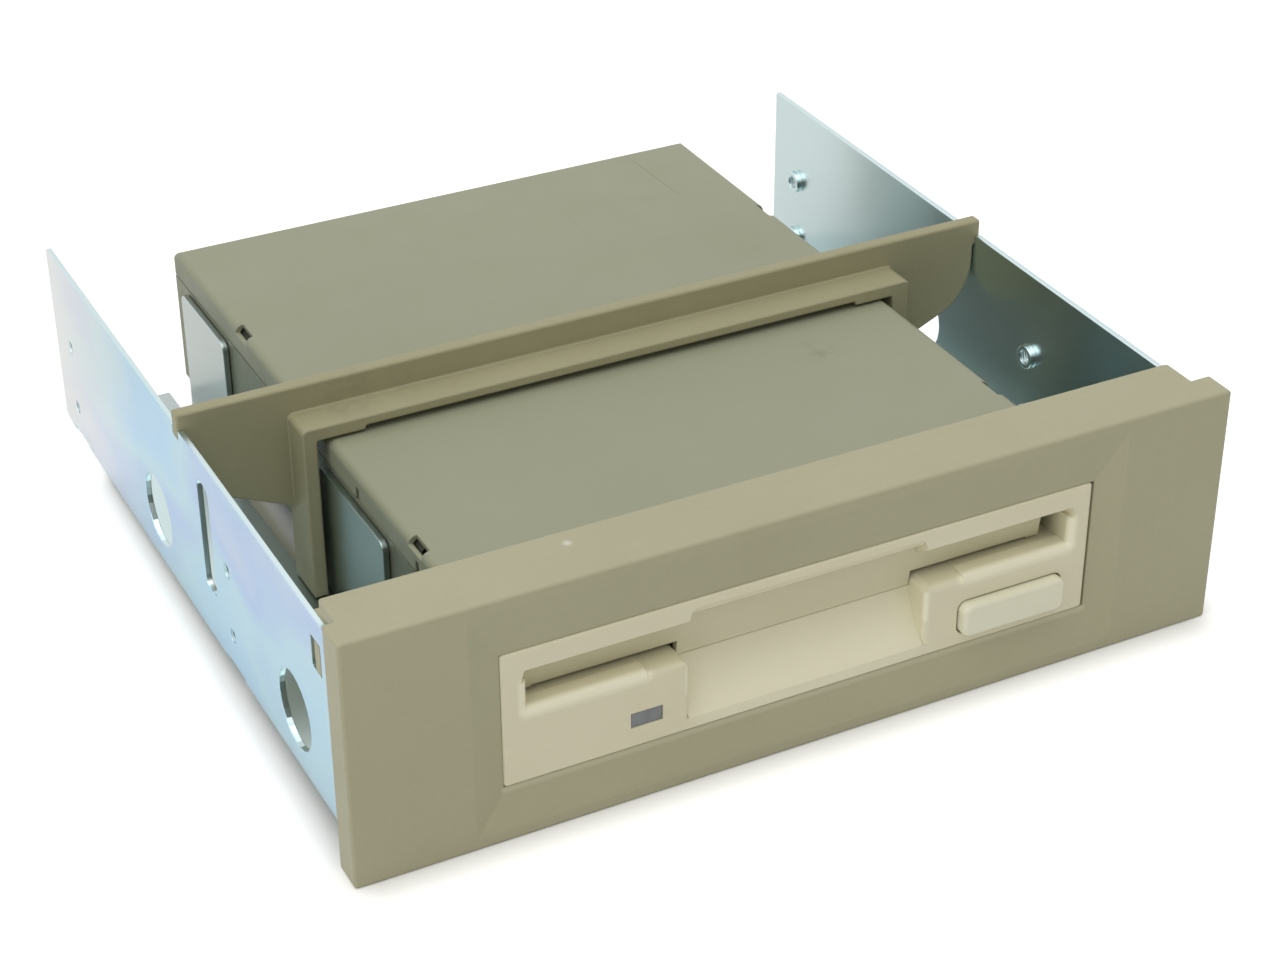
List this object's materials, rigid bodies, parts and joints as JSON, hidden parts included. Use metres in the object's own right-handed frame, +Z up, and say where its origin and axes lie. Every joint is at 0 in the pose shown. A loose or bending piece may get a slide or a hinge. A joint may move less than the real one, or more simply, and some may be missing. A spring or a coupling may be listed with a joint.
{
  "type": "floppy disk drive",
  "caption": "Disk drive with slot, sprung flap, eject button and lamp, held by sheet brackets, a wide front panel and a bridge frame; heads, spindle and disk holder move inside",
  "frame": {"origin": "under the middle of the overall width and depth, at the level of the front panel's lower edge", "axes": "+X to the right seen from the front, +Y from the front panel to the back, +Z up"},
  "size_m": [0.148, 0.1388, 0.042],
  "materials": {
    "panel_plastic": "fine moulded grain, aged",
    "bridge_plastic": "fine moulded grain, aged",
    "zinc_steel": "zinc plated with a faint blue passivation",
    "screw_steel": "zinc plated",
    "chassis_metal": "die cast",
    "cover_paint": "satin paint",
    "bezel_plastic": "fine moulded grain",
    "flap_plastic": "fine moulded grain",
    "button_plastic": "smooth moulded",
    "lens": "tinted, clear",
    "lamp_body": "tinted resin",
    "spring_steel": "drawn wire",
    "plated_steel": "plated sheet",
    "bright_steel": "ground",
    "rotor_steel": "plated",
    "magnet": "bonded magnet",
    "bronze": "sintered",
    "core_steel": "laminated",
    "copper_wire": "enamelled wire",
    "motor_board": "solder mask",
    "main_board": "solder mask",
    "chip": "moulded resin",
    "connector_plastic": "moulded",
    "power_plastic": "moulded",
    "pin_plate": "plated",
    "carriage_plastic": "filled resin",
    "head_ceramic": "polished",
    "motor_can": "plated",
    "switch_plastic": "moulded",
    "plunger_plastic": "moulded"
  },
  "bodies": {
    "base": {"front_panel": "panel_plastic", "bridge_frame": "bridge_plastic", "left_bracket": "zinc_steel", "right_bracket": "zinc_steel", "ear_screws": "screw_steel", "motor_board_screws": "screw_steel", "main_board_screws": "screw_steel", "stepper_screws": "screw_steel", "drive_chassis": "chassis_metal", "top_cover": "cover_paint", "drive_bezel": "bezel_plastic", "lamp_lens": "lens", "lamp": "lamp_body", "flap_spring": "spring_steel", "slider_spring": "spring_steel", "stepper_bracket": "plated_steel", "guide_rod": "bright_steel", "spindle_bearing": "bronze", "screw_bearing": "bronze", "stator_core": "core_steel", "stator_coils": "copper_wire", "motor_board": "motor_board", "main_board": "main_board", "board_chips": "chip", "data_connector": "connector_plastic", "power_connector": "power_plastic", "data_pins": "pin_plate", "power_pins": "pin_plate", "stepper_motor": "motor_can", "media_switch": "switch_plastic", "track_zero_sensor": "switch_plastic"},
    "flap": {"dust_flap": "flap_plastic"},
    "slider": {"eject_slider": "plated_steel", "eject_button": "button_plastic"},
    "holder": {"disk_holder": "plated_steel", "lever_pivot": "plated_steel", "lever_spring": "spring_steel"},
    "lever": {"shutter_lever": "plated_steel"},
    "spindle": {"spindle_hub": "rotor_steel", "drive_pin": "bright_steel", "spindle_rotor": "rotor_steel", "rotor_magnet": "magnet", "spindle_shaft": "bright_steel"},
    "carriage": {"head_carriage": "carriage_plastic", "lower_head": "head_ceramic", "arm_pivot_pin": "bright_steel", "arm_spring": "spring_steel"},
    "arm": {"upper_head_arm": "plated_steel", "upper_head": "head_ceramic"},
    "screw": {"lead_screw": "bright_steel"},
    "disk_pin": {"disk_plunger": "plunger_plastic"},
    "protect_pin": {"protect_plunger": "plunger_plastic"}
  },
  "joints": [
    {"name": "flap_swing", "type": "hinge", "parent": "base", "child": "flap", "pos_m": [0, -0.063, 0.027], "axis": [-1, 0, 0], "range_deg": [-78, 0], "stiffness_Nm_per_rad": 0.002},
    {"name": "eject_slide", "type": "slide", "parent": "base", "child": "slider", "axis": [0, -1, 0], "range_m": [0, 0.005], "deforming": ["slider_spring"]},
    {"name": "holder_drop", "type": "slide", "parent": "base", "child": "holder", "axis": [0, 0, -1], "range_m": [0, 0.003]},
    {"name": "shutter_swing", "type": "hinge", "parent": "holder", "child": "lever", "pos_m": [0.038, -0.0046, 0.028], "axis": [0, 0, 1], "range_deg": [-75, 0], "stiffness_Nm_per_rad": 0.003},
    {"name": "spindle_spin", "type": "hinge", "parent": "base", "child": "spindle", "pos_m": [0, -0.0091, 0.017], "axis": [0, 0, 1], "continuous": true},
    {"name": "head_seek", "type": "slide", "parent": "base", "child": "carriage", "axis": [0, -1, 0], "range_m": [0, 0.0148]},
    {"name": "arm_lower", "type": "hinge", "parent": "carriage", "child": "arm", "pos_m": [0, 0.0529, 0.0237], "axis": [1, 0, 0], "range_deg": [0, 13.5]},
    {"name": "screw_turn", "type": "hinge", "parent": "base", "child": "screw", "pos_m": [0.0125, 0.0314, 0.0152], "axis": [0, 1, 0], "range_deg": [0, 1425]},
    {"name": "disk_press", "type": "slide", "parent": "base", "child": "disk_pin", "axis": [0, 0, -1], "range_m": [0, 0.001], "stiffness_N_per_m": 200},
    {"name": "protect_press", "type": "slide", "parent": "base", "child": "protect_pin", "axis": [0, 0, -1], "range_m": [0, 0.001], "stiffness_N_per_m": 200}
  ],
  "couplings": [
    {"joint": "holder_drop", "follows": "eject_slide", "ratio": 0.6},
    {"joint": "arm_lower", "follows": "eject_slide", "rad_per_m": 47.12},
    {"joint": "screw_turn", "follows": "head_seek", "rad_per_m": 1675.5}
  ]
}
